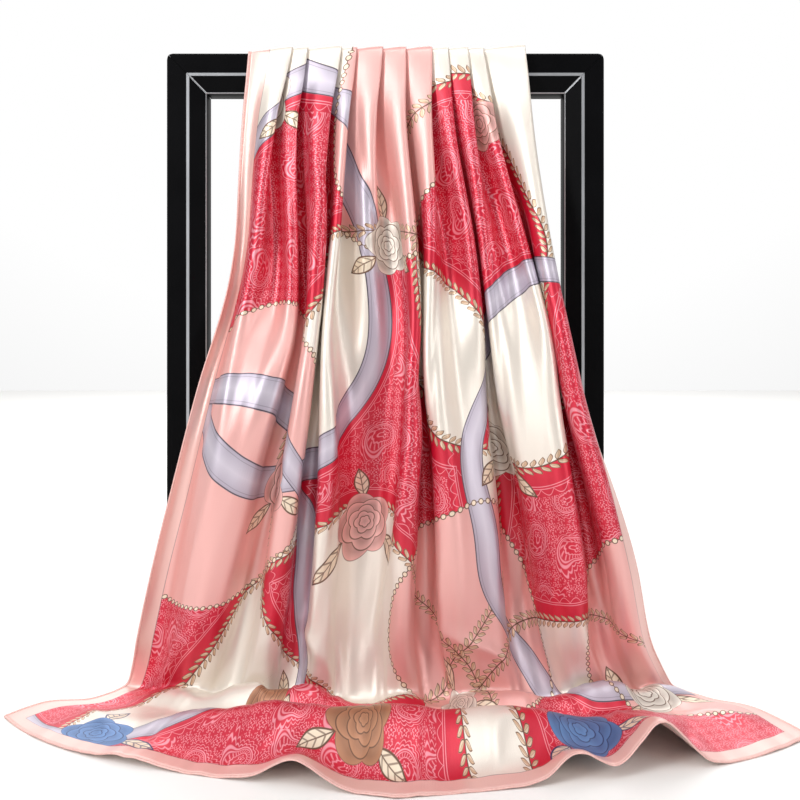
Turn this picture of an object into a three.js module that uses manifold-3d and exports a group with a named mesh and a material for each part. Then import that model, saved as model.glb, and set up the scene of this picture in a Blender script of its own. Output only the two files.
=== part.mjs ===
// Silk square scarf draped over a standing black display frame.
// Millimetres, +Z up, +X to the right as seen from the front, -Y towards the front.
// The origin is on the floor, under the middle of the frame's bottom rail.

import * as THREE from 'three';
import { mergeVertices } from 'three/addons/utils/BufferGeometryUtils.js';
import Module from 'manifold-3d';

const wasm = await Module();
wasm.setup();

// Driving sizes of the display frame
const FRAME_WIDTH = 450;
const FRAME_HEIGHT = 655;
const FRAME_DEPTH = 30;
const MOULDING_WIDTH = 40;
const CORNER_RADIUS = 7;
const SEAM_GAP = 0.3;

// Driving sizes of the scarf
const SCARF_SIDE = 900;
const CLOTH_THICKNESS = 1;
const HEM_THICKNESS = 1.2;
const HEM_WIDTH = 3;
const REST_GAP = 0.3;

// Sharpest turn of a fold away from the row's own line, in radians
const SHARPEST_FOLD = 2.0;
const STEPS_PER_PLEAT = 9;

const FRONT_FACE = -FRAME_DEPTH / 2;
const HALF_SIDE = SCARF_SIDE / 2;

// Pleats gathered on the rail, left to right: the width that each one shows there
const railPleats = [
  { shown: 21 }, { shown: 18 }, { shown: 42 }, { shown: 20 }, { shown: 31 }, { shown: 29 },
  { shown: 31 }, { shown: 18 }, { shown: 21 }, { shown: 19 }, { shown: 32 },
];

// Large flutes of the lower half, left to right: where each ridge lies across the cloth,
// from -1 at the left hem to 1 at the right one, and how sharply it folds
const flutes = [
  { ridge: -0.82, fold: 0.95 },
  { ridge: -0.57, fold: 0.8 },
  { ridge: -0.33, fold: 1.0 },
  { ridge: -0.02, fold: 1.15 },
  { ridge: 0.28, fold: 0.9 },
  { ridge: 0.66, fold: 1.1 },
  { ridge: 0.92, fold: 0.8 },
];

// Places where the front hem lifts off the floor: across as above, height in mm,
// half width across, and how far back from the hem the lift runs
const hemLifts = [
  { across: -0.62, height: 6, spread: 0.09, reach: 60 },
  { across: -0.22, height: 21, spread: 0.075, reach: 60 },
  { across: 0.4, height: 24, spread: 0.065, reach: 55 },
  { across: 0.59, height: 42, spread: 0.08, reach: 90 },
];

// The two rolls of cloth that lie on the floor in front of the frame: where their crests
// are along the cloth and how far they reach to each side of them, and their heights across
const firstRoll = { crest: 738, reach: 30 };
const secondRoll = { crest: 824, reach: 58 };
const rollHeights = [
  { across: -1, first: 0, second: 0 },
  { across: -0.8, first: 4, second: 1 },
  { across: -0.62, first: 12, second: 13 },
  { across: -0.36, first: 19, second: 31 },
  { across: -0.12, first: 9, second: 36 },
  { across: 0.12, first: 4, second: 34 },
  { across: 0.3, first: 9, second: 28 },
  { across: 0.55, first: 15, second: 17 },
  { across: 0.8, first: 12, second: 6 },
  { across: 1, first: 0, second: 0 },
];

// Cross sections of the drape, from the back hem over the rail and down to the front hem.
// along: mm of cloth from the back hem. ahead, up: the line that the section's inner folds
// touch, in mm ahead of the frame's front face and above the floor. lie: the way that the
// folds stand, in degrees up from straight ahead. left, right: reach to each side.
// sweepLeft, sweepRight: how far the ends lie behind the middle. pleat, flute: strength of
// the two sets of folds. depth: share of their free depth. lean: how far they lie over.
// cuts: strips of faces up to the next section.
const sections = [
  { along: 0, ahead: -30, up: 634, lie: 180, left: 140, right: 144, sweepLeft: 0, sweepRight: 0,
    pleat: 1, flute: 0, depth: 0.2, lean: 1.1, cuts: 1 },
  { along: 21, ahead: -30, up: 655, lie: 180, left: 139, right: 143, sweepLeft: 0, sweepRight: 0,
    pleat: 1, flute: 0, depth: 0.175, lean: 1.15, cuts: 2 },
  { along: 24, ahead: -30, up: 655, lie: 90, left: 139, right: 143, sweepLeft: 0, sweepRight: 0,
    pleat: 1, flute: 0, depth: 0.17, lean: 1.15, cuts: 1 },
  { along: 54, ahead: 0, up: 655, lie: 90, left: 139, right: 143, sweepLeft: 0, sweepRight: 0,
    pleat: 1, flute: 0, depth: 0.17, lean: 1.15, cuts: 2 },
  { along: 57, ahead: 0, up: 655, lie: 0, left: 139, right: 143, sweepLeft: 0, sweepRight: 0,
    pleat: 1, flute: 0, depth: 0.175, lean: 1.15, cuts: 1 },
  { along: 80, ahead: 0, up: 632, lie: 0, left: 141, right: 145, sweepLeft: 0, sweepRight: 0,
    pleat: 1, flute: 0.05, depth: 0.28, lean: 1.0, cuts: 1 },
  { along: 125, ahead: 0, up: 588, lie: 0, left: 145, right: 148, sweepLeft: 0, sweepRight: 0,
    pleat: 0.95, flute: 0.15, depth: 0.5, lean: 0.7, cuts: 2 },
  { along: 245, ahead: 0, up: 467, lie: 0, left: 153, right: 163, sweepLeft: 0, sweepRight: 0,
    pleat: 0.7, flute: 0.5, depth: 0.85, lean: 0.2, cuts: 2 },
  { along: 400, ahead: 0, up: 312, lie: 0, left: 186, right: 193, sweepLeft: 0, sweepRight: 0,
    pleat: 0.35, flute: 0.9, depth: 0.95, lean: 0, cuts: 2 },
  { along: 575, ahead: 6, up: 138, lie: 0, left: 230, right: 244, sweepLeft: 3, sweepRight: 3,
    pleat: 0.2, flute: 1, depth: 0.8, lean: 0, cuts: 1 },
  { along: 650, ahead: 18, up: 64, lie: 5, left: 246, right: 260, sweepLeft: 10, sweepRight: 8,
    pleat: 0.15, flute: 1, depth: 0.6, lean: 0, cuts: 1 },
  { along: 690, ahead: 33, up: 25, lie: 25, left: 254, right: 276, sweepLeft: 26, sweepRight: 20,
    pleat: 0.12, flute: 1, depth: 0.4, lean: 0, cuts: 1 },
  { along: 712, ahead: 50, up: 3, lie: 65, left: 262, right: 290, sweepLeft: 40, sweepRight: 32,
    pleat: 0.1, flute: 1, depth: 0.25, lean: 0, cuts: 1 },
  { along: 738, ahead: 76, up: -REST_GAP, lie: 90, left: 276, right: 308, sweepLeft: 52, sweepRight: 48,
    pleat: 0.1, flute: 1, depth: 0.2, lean: 0, cuts: 2 },
  { along: 766, ahead: 101, up: -REST_GAP, lie: 90, left: 292, right: 326, sweepLeft: 66, sweepRight: 62,
    pleat: 0.1, flute: 1, depth: 0.13, lean: 0, cuts: 2 },
  { along: 826, ahead: 160, up: -REST_GAP, lie: 90, left: 330, right: 358, sweepLeft: 118, sweepRight: 100,
    pleat: 0.1, flute: 1, depth: 0.14, lean: 0, cuts: 2 },
  { along: 868, ahead: 204, up: -REST_GAP, lie: 90, left: 350, right: 376, sweepLeft: 148, sweepRight: 112,
    pleat: 0.1, flute: 1, depth: 0.08, lean: 0, cuts: 1 },
  { along: SCARF_SIDE, ahead: 240, up: -REST_GAP, lie: 90, left: 362, right: 386,
    sweepLeft: 168, sweepRight: 122, pleat: 0.1, flute: 1, depth: 0.04, lean: 0, cuts: 0 },
];

// A smooth curve through (x, y) points that never swings past them
function smoothThrough(xs, ys) {
  const slopes = xs.slice(1).map((x, i) => (ys[i + 1] - ys[i]) / (x - xs[i]));
  const tangents = xs.map((x, i) => {
    if (i === 0 || i === xs.length - 1) return slopes[Math.min(i, slopes.length - 1)];
    const [before, after] = [slopes[i - 1], slopes[i]];
    return before * after <= 0 ? 0 : (2 * before * after) / (before + after);
  });
  return (x) => {
    let i = 0;
    while (i < xs.length - 2 && x > xs[i + 1]) i += 1;
    const span = xs[i + 1] - xs[i];
    const t = (x - xs[i]) / span;
    const [t2, t3] = [t * t, t * t * t];
    return ys[i] * (2 * t3 - 3 * t2 + 1) + ys[i + 1] * (3 * t2 - 2 * t3)
      + span * (tangents[i] * (t3 - 2 * t2 + t) + tangents[i + 1] * (t3 - t2));
  };
}

function smoothColumn(rows, key) {
  return smoothThrough(rows.map((row) => row.along), rows.map((row) => row[key]));
}

const columnAt = Object.fromEntries(
  Object.keys(sections[0]).filter((key) => key !== 'cuts').map((key) => [key, smoothColumn(sections, key)]),
);

function sectionAt(along) {
  return Object.fromEntries(Object.keys(columnAt).map((key) => [key, columnAt[key](along)]));
}

// Each pleat hides an equal length of cloth under its neighbour, and a pleat's fold is the
// sharper the less of it shows. The last one stops short, with its hem clear of the rail.
const shownInAll = railPleats.reduce((sum, pleat) => sum + pleat.shown, 0);
const hiddenByEach = (SCARF_SIDE - shownInAll) / railPleats.length;
const pleatStarts = [-HALF_SIDE];
railPleats.forEach((pleat) => pleatStarts.push(pleatStarts.at(-1) + pleat.shown + hiddenByEach));
const lastPleatShare = 0.75;
const pleatCount = smoothThrough(
  pleatStarts,
  pleatStarts.map((start, i) => Math.min(i, railPleats.length - 1 + lastPleatShare)),
);
const pleatFold = smoothThrough(
  railPleats.map((pleat, i) => (pleatStarts[i] + pleatStarts[i + 1]) / 2),
  railPleats.map((pleat) => 2.4 * (hiddenByEach / (pleat.shown + hiddenByEach)) ** 0.6),
);
const fluteRidges = flutes.map((flute) => flute.ridge * HALF_SIDE);
const fluteCount = smoothThrough(fluteRidges, flutes.map((flute, i) => i + 0.5));
const fluteFold = smoothThrough(fluteRidges, flutes.map((flute) => flute.fold));

// One row of folds: the angle of the cloth swings to and fro about the row's own line, and
// its sum gives the place across (0 in the middle) and the depth of each point
const FINE_STEPS = 720;
function foldedRow(section, strength) {
  const step = SCARF_SIDE / FINE_STEPS;
  const across = [0];
  const depth = [0];
  for (let i = 0; i < FINE_STEPS; i += 1) {
    const width = (i + 0.5) * step - HALF_SIDE;
    const swing = strength * (section.pleat * pleatFold(width) * Math.sin(2 * Math.PI * pleatCount(width))
      + section.flute * fluteFold(width) * Math.sin(2 * Math.PI * fluteCount(width)));
    const angle = SHARPEST_FOLD * Math.tanh(swing / SHARPEST_FOLD);
    across.push(across[i] + step * Math.cos(angle));
    depth.push(depth[i] + step * Math.sin(angle));
  }
  return { across, depth };
}

// The fold strength at which 900 mm of cloth takes up just the width that the row has
function solvedRow(section) {
  let [low, high] = [0.05, 4];
  const wanted = rowLength(section);
  for (let i = 0; i < 24; i += 1) {
    const middle = (low + high) / 2;
    if (foldedRow(section, middle).across.at(-1) > wanted) low = middle;
    else high = middle;
  }
  return foldedRow(section, (low + high) / 2);
}

// The line that a row follows over the ground, at t from -1 to 1: straight in the hanging
// cloth, and swept back at its ends on the floor
function rowLine(section, t) {
  const sweep = t < 0 ? section.sweepLeft : section.sweepRight;
  const x = (section.right - section.left) / 2 + (t * (section.right + section.left)) / 2;
  const ahead = section.ahead - sweep * (0.55 * Math.abs(t) + 0.45 * Math.abs(t) ** 5);
  return [x, ahead];
}

function rowLength(section) {
  const steps = 40;
  let length = 0;
  for (let i = 0; i < steps; i += 1) {
    const [x0, a0] = rowLine(section, -1 + (2 * i) / steps);
    const [x1, a1] = rowLine(section, -1 + (2 * (i + 1)) / steps);
    length += Math.hypot(x1 - x0, a1 - a0);
  }
  return Math.min(length, 0.985 * SCARF_SIDE);
}

const rollAcross = rollHeights.map((row) => row.across);
const firstHeight = smoothThrough(rollAcross, rollHeights.map((row) => row.first));
const secondHeight = smoothThrough(rollAcross, rollHeights.map((row) => row.second));

function bell(distance, reach) {
  return Math.abs(distance) < reach ? 0.5 + 0.5 * Math.cos((Math.PI * distance) / reach) : 0;
}

// Height of the rolls and of the lifted hem over the floor, at a place on the cloth
function liftAt(along, t) {
  const rolls = firstHeight(t) * bell(along - firstRoll.crest, firstRoll.reach)
    + secondHeight(t) * bell(along - secondRoll.crest, secondRoll.reach);
  return hemLifts.reduce((sum, lift) => {
    const rise = bell(SCARF_SIDE - along, lift.reach);
    return sum + lift.height * rise * Math.exp(-(((t - lift.across) / lift.spread) ** 2));
  }, rolls);
}

// The middle of the cloth at each of the given widths, along one row
function clothRow(along, widths) {
  const section = sectionAt(along);
  const { across, depth } = solvedRow(section);
  const lowest = Math.min(...depth);
  const mean = depth.reduce((sum, d) => sum + d, 0) / depth.length;
  const leaning = across.map((c, i) => c + section.lean * (depth[i] - mean));
  const [first, last] = [Math.min(...leaning), Math.max(...leaning)];
  const lie = THREE.MathUtils.degToRad(section.lie);
  const clear = REST_GAP + CLOTH_THICKNESS / 2;
  return widths.map((width) => {
    const place = ((width + HALF_SIDE) / SCARF_SIDE) * FINE_STEPS;
    const i = Math.min(FINE_STEPS - 1, Math.floor(place));
    const rest = place - i;
    const c = leaning[i] * (1 - rest) + leaning[i + 1] * rest;
    const d = depth[i] * (1 - rest) + depth[i + 1] * rest - lowest;
    const t = (2 * (c - first)) / (last - first) - 1;
    const [x, ahead] = rowLine(section, t);
    const out = clear + section.depth * d;
    return new THREE.Vector3(
      x,
      FRONT_FACE - ahead - out * Math.cos(lie),
      section.up + out * Math.sin(lie) + liftAt(along, t),
    );
  });
}

// A wall of cloth: the grid of its middle surface, moved out to both sides and closed round
// its rim. Points that would pass under the floor rest on it.
function clothWall(grid, thickness) {
  const [rowCount, columnCount] = [grid.length, grid[0].length];
  const points = [];
  [1, -1].forEach((side) => {
    grid.forEach((row, j) => row.forEach((point, i) => {
      const [above, below] = [grid[Math.max(j - 1, 0)][i], grid[Math.min(j + 1, rowCount - 1)][i]];
      const [before, after] = [row[Math.max(i - 1, 0)], row[Math.min(i + 1, columnCount - 1)]];
      const normal = below.clone().sub(above).cross(after.clone().sub(before)).normalize();
      const moved = point.clone().addScaledVector(normal, (side * thickness) / 2);
      moved.z = Math.max(moved.z, side < 0 ? 0 : thickness / 2);
      points.push(moved);
    }));
  });
  const at = (side, j, i) => (side * rowCount + j) * columnCount + i;
  const faces = [];
  const quad = (a, b, c, d) => {
    if (points[a].distanceTo(points[c]) <= points[b].distanceTo(points[d])) faces.push(a, b, c, a, c, d);
    else faces.push(a, b, d, b, c, d);
  };
  const [lastRow, lastColumn] = [rowCount - 1, columnCount - 1];
  for (let j = 0; j < lastRow; j += 1) {
    for (let i = 0; i < lastColumn; i += 1) {
      quad(at(0, j, i), at(0, j + 1, i), at(0, j + 1, i + 1), at(0, j, i + 1));
      quad(at(1, j, i), at(1, j, i + 1), at(1, j + 1, i + 1), at(1, j + 1, i));
    }
    quad(at(0, j + 1, 0), at(0, j, 0), at(1, j, 0), at(1, j + 1, 0));
    quad(at(0, j, lastColumn), at(0, j + 1, lastColumn), at(1, j + 1, lastColumn), at(1, j, lastColumn));
  }
  for (let i = 0; i < lastColumn; i += 1) {
    quad(at(0, 0, i), at(0, 0, i + 1), at(1, 0, i + 1), at(1, 0, i));
    quad(at(0, lastRow, i + 1), at(0, lastRow, i), at(1, lastRow, i), at(1, lastRow, i + 1));
  }
  const geometry = new THREE.BufferGeometry();
  geometry.setAttribute('position', new THREE.Float32BufferAttribute(points.flatMap((p) => p.toArray()), 3));
  geometry.setIndex(faces);
  return geometry;
}

// Grid lines of the panel: each pleat is cut into equal steps, and each section as it says
const edge = HALF_SIDE - HEM_WIDTH - SEAM_GAP;
const pleatSteps = railPleats.flatMap((pleat, i) => Array.from(
  { length: STEPS_PER_PLEAT },
  (_, k) => pleatStarts[i] + ((pleatStarts[i + 1] - pleatStarts[i]) * k) / STEPS_PER_PLEAT,
));
const panelWidths = [-edge, ...pleatSteps.filter((w) => Math.abs(w) < edge - 2), edge];
const sectionSteps = sections.flatMap((section, i) => Array.from(
  { length: section.cuts },
  (_, k) => section.along + ((sections[i + 1].along - section.along) * k) / section.cuts,
));
const [panelStart, panelEnd] = [HEM_WIDTH + SEAM_GAP, SCARF_SIDE - HEM_WIDTH - SEAM_GAP];
const panelAlongs = [
  panelStart,
  ...sectionSteps.filter((a) => a > panelStart + 2 && a < panelEnd - 2),
  panelEnd,
];
const panelGrid = panelAlongs.map((along) => clothRow(along, panelWidths));

// A hem carries on from the panel's edge, past a narrow gap, in the direction that the
// cloth has there
function beyond(edgePoint, innerPoint) {
  const way = edgePoint.clone().sub(innerPoint).normalize();
  return [SEAM_GAP, SEAM_GAP + HEM_WIDTH].map((reach) => edgePoint.clone().addScaledVector(way, reach));
}

const leftHem = panelGrid.map((row) => beyond(row[0], row[1]).reverse());
const rightHem = panelGrid.map((row) => beyond(row.at(-1), row.at(-2)));

// The two hems that run across also take in the corners
function acrossHem(edgeRow, innerRow, leftPair, rightPair) {
  const pairs = edgeRow.map((point, i) => beyond(point, innerRow[i]));
  const rows = [0, 1].map((k) => pairs.map((pair) => pair[k]));
  return rows.map((row) => {
    const shift = row[0].clone().sub(edgeRow[0]);
    const farShift = row.at(-1).clone().sub(edgeRow.at(-1));
    return [leftPair[0].clone().add(shift), ...row, rightPair[1].clone().add(farShift)];
  });
}

const backHem = acrossHem(panelGrid[0], panelGrid[1], leftHem[0], rightHem[0]).reverse();
const frontHem = acrossHem(panelGrid.at(-1), panelGrid.at(-2), leftHem.at(-1), rightHem.at(-1));

// Materials
const silk = new THREE.MeshStandardMaterial({ color: 0xdf3b55, roughness: 0.35, metalness: 0 });
const hemSilk = new THREE.MeshStandardMaterial({ color: 0xf3b9b4, roughness: 0.4, metalness: 0 });
const blackLacquer = new THREE.MeshStandardMaterial({ color: 0x0b0b0c, roughness: 0.3, metalness: 0 });

const scarfOnStand = new THREE.Group();

function addMesh(name, geometry, material) {
  const mesh = new THREE.Mesh(geometry, material);
  mesh.name = name;
  scarfOnStand.add(mesh);
  return mesh;
}

// Scarf: the printed square, and a narrow hem along each of its four edges
addMesh('scarf_panel', clothWall(panelGrid, CLOTH_THICKNESS), silk);
addMesh('hem_back', clothWall(backHem, HEM_THICKNESS), hemSilk);
addMesh('hem_front', clothWall(frontHem, HEM_THICKNESS), hemSilk);
addMesh('hem_left', clothWall(leftHem, HEM_THICKNESS), hemSilk);
addMesh('hem_right', clothWall(rightHem, HEM_THICKNESS), hemSilk);

// Section of the moulding, from the outer edge inwards: a flat outer band, a narrow raised
// line, and an inner band that slopes back to the opening
const OUTER_BAND = 20;
const LINE_WIDTH = 3.5;
const EDGE_EASE = 1.5;
const LINE_RISE = 0.6;
const SLOPE_DROP = 7;
const mouldingSection = [
  { inward: 0, ahead: -FRAME_DEPTH },
  { inward: 0, ahead: -EDGE_EASE },
  { inward: EDGE_EASE, ahead: 0 },
  { inward: OUTER_BAND, ahead: 0 },
  { inward: OUTER_BAND, ahead: LINE_RISE },
  { inward: OUTER_BAND + LINE_WIDTH, ahead: LINE_RISE },
  { inward: OUTER_BAND + LINE_WIDTH, ahead: -1 },
  { inward: MOULDING_WIDTH - 1, ahead: -SLOPE_DROP },
  { inward: MOULDING_WIDTH, ahead: -SLOPE_DROP - 1 },
  { inward: MOULDING_WIDTH, ahead: -FRAME_DEPTH },
];

// One mitred length of moulding along X, its outer edge at y = 0 and its body towards -y,
// with its face towards +z. Every line of the section ends on the mitre.
function mouldingLength(outerLength) {
  const shape = new THREE.Shape(mouldingSection.map((p) => new THREE.Vector2(p.inward, p.ahead)));
  const geometry = new THREE.ExtrudeGeometry(shape, { depth: 1, steps: 1, bevelEnabled: false });
  const position = geometry.getAttribute('position');
  for (let i = 0; i < position.count; i += 1) {
    const [inward, ahead, end] = [position.getX(i), position.getY(i), position.getZ(i)];
    const half = outerLength / 2 - inward - SEAM_GAP * Math.SQRT1_2;
    position.setXYZ(i, end > 0.5 ? -half : half, -inward, ahead);
  }
  return geometry;
}

function toManifold(geometry) {
  const plain = new THREE.BufferGeometry();
  plain.setAttribute('position', geometry.getAttribute('position').clone());
  if (geometry.getIndex()) plain.setIndex(geometry.getIndex().clone());
  const merged = mergeVertices(plain, 1e-4);
  return new wasm.Manifold(new wasm.Mesh({
    numProp: 3,
    vertProperties: new Float32Array(merged.getAttribute('position').array),
    triVerts: new Uint32Array(merged.getIndex().array),
  }));
}

function fromManifold(solid) {
  const mesh = solid.getMesh();
  const geometry = new THREE.BufferGeometry();
  geometry.setAttribute('position', new THREE.Float32BufferAttribute(mesh.vertProperties, 3));
  geometry.setIndex(Array.from(mesh.triVerts));
  return geometry;
}

// Outline of the whole frame with rounded corners, as a block that trims the mitred lengths
function roundedBlock() {
  const [w, h, r] = [FRAME_WIDTH / 2, FRAME_HEIGHT, CORNER_RADIUS];
  const shape = new THREE.Shape();
  shape.moveTo(-w + r, 0);
  shape.lineTo(w - r, 0);
  shape.absarc(w - r, r, r, -Math.PI / 2, 0);
  shape.lineTo(w, h - r);
  shape.absarc(w - r, h - r, r, 0, Math.PI / 2);
  shape.lineTo(-w + r, h);
  shape.absarc(-w + r, h - r, r, Math.PI / 2, Math.PI);
  shape.lineTo(-w, r);
  shape.absarc(-w + r, r, r, Math.PI, 1.5 * Math.PI);
  return new THREE.ExtrudeGeometry(shape, { depth: 2 * FRAME_DEPTH, bevelEnabled: false, curveSegments: 5 })
    .translate(0, 0, -1.5 * FRAME_DEPTH)
    .rotateX(Math.PI / 2);
}

// Display frame: four mitred lengths that stand on the bottom one
const frameMembers = [
  { name: 'frame_rail_top', length: FRAME_WIDTH, turn: 0, x: 0, z: FRAME_HEIGHT },
  { name: 'frame_rail_bottom', length: FRAME_WIDTH, turn: 180, x: 0, z: 0 },
  { name: 'frame_stile_left', length: FRAME_HEIGHT, turn: 90, x: -FRAME_WIDTH / 2, z: FRAME_HEIGHT / 2 },
  { name: 'frame_stile_right', length: FRAME_HEIGHT, turn: -90, x: FRAME_WIDTH / 2, z: FRAME_HEIGHT / 2 },
];
const outline = toManifold(roundedBlock());
frameMembers.forEach((member) => {
  const length = mouldingLength(member.length)
    .rotateZ(THREE.MathUtils.degToRad(member.turn))
    .rotateX(Math.PI / 2)
    .translate(member.x, FRONT_FACE, member.z);
  addMesh(member.name, fromManifold(toManifold(length).intersect(outline)), blackLacquer);
});

export default scarfOnStand;
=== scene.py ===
import math

import bpy
import numpy as np
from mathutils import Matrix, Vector


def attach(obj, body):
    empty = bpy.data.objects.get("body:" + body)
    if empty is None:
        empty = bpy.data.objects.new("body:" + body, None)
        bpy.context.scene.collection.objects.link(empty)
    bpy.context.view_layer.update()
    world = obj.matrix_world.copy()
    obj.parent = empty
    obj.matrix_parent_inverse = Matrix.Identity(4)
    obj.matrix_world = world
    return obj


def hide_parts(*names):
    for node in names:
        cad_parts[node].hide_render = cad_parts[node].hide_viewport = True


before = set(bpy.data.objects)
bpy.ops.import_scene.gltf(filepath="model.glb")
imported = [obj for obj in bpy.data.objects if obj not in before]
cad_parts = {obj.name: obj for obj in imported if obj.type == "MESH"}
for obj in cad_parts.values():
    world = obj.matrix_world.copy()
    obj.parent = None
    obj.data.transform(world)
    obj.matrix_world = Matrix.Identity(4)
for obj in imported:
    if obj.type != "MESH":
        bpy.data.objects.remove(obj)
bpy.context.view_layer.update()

# Display stand
# Four mitred lengths of black lacquered wooden moulding, with a silver line pressed into the
# face, and painted highlights along the opening's edge and the mitre joints. The CAD nodes have the
# right shape and keep it.


class Wire:
    """One socket of a material's node tree. Arithmetic on it adds Math nodes."""

    def __init__(self, tree, socket=None):
        self.tree, self.socket = tree, socket

    def node(self, kind, settings, values, output=0):
        """Adds a node of a type with its settings, then the values or links of its sockets."""
        made = self.tree.nodes.new(kind)
        for name, setting in settings.items():
            setattr(made, name, setting)
        for key, value in values.items():
            if isinstance(value, Wire):
                self.tree.links.new(value.socket, made.inputs[key])
            else:
                made.inputs[key].default_value = value
        return Wire(self.tree, made.outputs[output])

    def math(self, operation, *others, clamp=False):
        """A Math node on this wire and the others."""
        settings = {"operation": operation, "use_clamp": clamp}
        return self.node("ShaderNodeMath", settings, dict(enumerate((self, *others))))

    def vector(self, operation, *others):
        """A Vector Math node on this wire and the others: a vector, or a length as a number."""
        output = 1 if operation == "LENGTH" else 0
        values = dict(enumerate((self, *others)))
        return self.node("ShaderNodeVectorMath", {"operation": operation}, values, output)

    def __add__(self, other):
        return self.math("ADD", other)

    __radd__ = __add__

    def __sub__(self, other):
        return self.math("SUBTRACT", other)

    def __rsub__(self, other):
        return self.math("MULTIPLY_ADD", -1.0, other)

    def __mul__(self, other):
        return self.math("MULTIPLY", other)

    __rmul__ = __mul__

    def __truediv__(self, other):
        return self.math("DIVIDE", other)

    def __neg__(self):
        return self.math("MULTIPLY", -1.0)

    def __abs__(self):
        return self.math("ABSOLUTE")

    def sin(self):
        return self.math("SINE")

    def cos(self):
        return self.math("COSINE")

    def over(self, edge, soft):
        """1 where this is over the edge and 0 below it, with a soft step that wide."""
        return (self - edge).math("MULTIPLY_ADD", 1 / soft, 0.5, clamp=True)

    def within(self, half, soft):
        """1 where this is nearer to 0 than half, with a soft edge that wide."""
        return (half - abs(self)).math("MULTIPLY_ADD", 1 / soft, 0.5, clamp=True)

    def mix(self, low, high):
        """The colour low where this is 0 and high where it is 1."""
        return self.node("ShaderNodeMix", {"data_type": "RGBA"}, {0: self, 6: low, 7: high}, 2)

    def also(self, name):
        """Another output of this wire's node."""
        return Wire(self.tree, self.socket.node.outputs[name])

    def blended(self, share, ground):
        """That share of this colour on a ground colour."""
        return self.node("ShaderNodeMix", {"data_type": "RGBA"}, {0: share, 6: ground, 7: self}, 2)

    def mix_vector(self, low, high):
        """The vector low where this is 0 and high where it is 1."""
        return self.node("ShaderNodeMix", {"data_type": "VECTOR"}, {0: self, 4: low, 5: high}, 1)

    def parts(self):
        """The x, y and z of a vector, one wire each."""
        split = self.node("ShaderNodeSeparateXYZ", {}, {0: self})
        return [Wire(self.tree, socket) for socket in split.socket.node.outputs]


def ink(code):
    """A colour as printed, such as "d8304c", in the linear numbers that a shader takes."""
    shares = [int(code[i : i + 2], 16) / 255 for i in (0, 2, 4)]
    linear = [s / 12.92 if s < 0.04045 else ((s + 0.055) / 1.055) ** 2.4 for s in shares]
    return (*linear, 1)


def new_material(name, **constants):
    """A material with those constant values on its shader: (material, shader, first wire)."""
    material = bpy.data.materials.new(name)
    material.use_nodes = True
    shader = material.node_tree.nodes["Principled BSDF"]
    for key, value in constants.items():
        shader.inputs[key.replace("_", " ").title().replace("Ior", "IOR")].default_value = value
    return material, shader, Wire(material.node_tree)


def plug(wire, shader, key):
    """Links a wire to a socket of the shader."""
    wire.tree.links.new(wire.socket, shader.inputs[key])


def bump(height, distance, strength, shader):
    """A bump of a height wire, in metres, on the shader's normal."""
    values = {"Height": height, "Distance": distance, "Strength": strength}
    plug(height.node("ShaderNodeBump", {}, values), shader, "Normal")


FRAME_WIDTH, FRAME_HEIGHT = 0.45, 0.655
FRONT_FACE = -0.015
LINE_INNER, LINE_OUTER = 0.0203, 0.0232
SIGHT_EDGE = 0.0392
# The silver colours the inlaid line, and also paints highlights along the opening's edge and the mitre
# joints
LACQUER, SILVER_AND_HIGHLIGHT = ink("030304"), ink("c4c6ca")

lacquer, lacquer_shader, wire = new_material("black_lacquer", specular_ior_level=0.05)
place = wire.node("ShaderNodeTexCoord", {}, {}, "Object")
x, y, z = place.parts()
from_side = FRAME_WIDTH / 2 - abs(x)
from_end = z.math("MINIMUM", FRAME_HEIGHT - z)
inward = from_side.math("MINIMUM", from_end)
on_face = (-y).over(-FRONT_FACE - 0.009, 0.001)
line_middle, line_half = (LINE_INNER + LINE_OUTER) / 2, (LINE_OUTER - LINE_INNER) / 2
silver_line = (inward - line_middle).within(line_half, 0.0004)
# Painted highlights: a thin bright line along the opening's edge, and one along each mitre joint, in
# the silver colour and metal finish
painted_opening_highlight = inward.over(SIGHT_EDGE - 0.0004, 0.0003)
painted_mitre_highlight = (from_side - from_end).within(0.001, 0.0003) * inward.over(LINE_OUTER, 0.0003)
silver_and_painted_highlight = on_face * silver_line.math("MAXIMUM", painted_mitre_highlight)
silver_and_painted_highlight = silver_and_painted_highlight.math("MAXIMUM", 0.8 * on_face * painted_opening_highlight)
grain = wire.node("ShaderNodeTexNoise", {}, {"Vector": place, "Scale": 260.0, "Detail": 3.0})
scuffs = wire.node("ShaderNodeTexNoise", {}, {"Vector": place, "Scale": 18.0, "Detail": 5.0})
# Silver on the inlaid line and on the painted highlights, black lacquer elsewhere
plug(silver_and_painted_highlight.mix(scuffs.mix(LACQUER, ink("0b0b0d")), SILVER_AND_HIGHLIGHT), lacquer_shader, "Base Color")
plug(silver_and_painted_highlight * 0.9, lacquer_shader, "Metallic")
plug(0.34 + 0.16 * scuffs - 0.05 * silver_and_painted_highlight, lacquer_shader, "Roughness")
bump(grain, 0.0002, 0.25, lacquer_shader)

# Towards the front, the sides that face into the opening are the same black, but dull
unpolished = wire.node("ShaderNodeBsdfDiffuse", {}, {"Color": LACQUER, "Roughness": 0.6})
reveal = (-y).over(0, 0.02) * inward.over(SIGHT_EDGE + 0.0004, 0.0003)
polished = Wire(wire.tree, lacquer_shader.outputs[0])
finish = wire.node("ShaderNodeMixShader", {}, {0: reveal, 1: polished, 2: unpolished})
wire.tree.links.new(finish.socket, wire.tree.nodes["Material Output"].inputs["Surface"])

STAND_NODES = ("frame_rail_top", "frame_rail_bottom", "frame_stile_left", "frame_stile_right")
for name in STAND_NODES:
    stand_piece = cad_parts[name]
    stand_piece.data.materials.clear()
    stand_piece.data.materials.append(lacquer)

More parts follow.
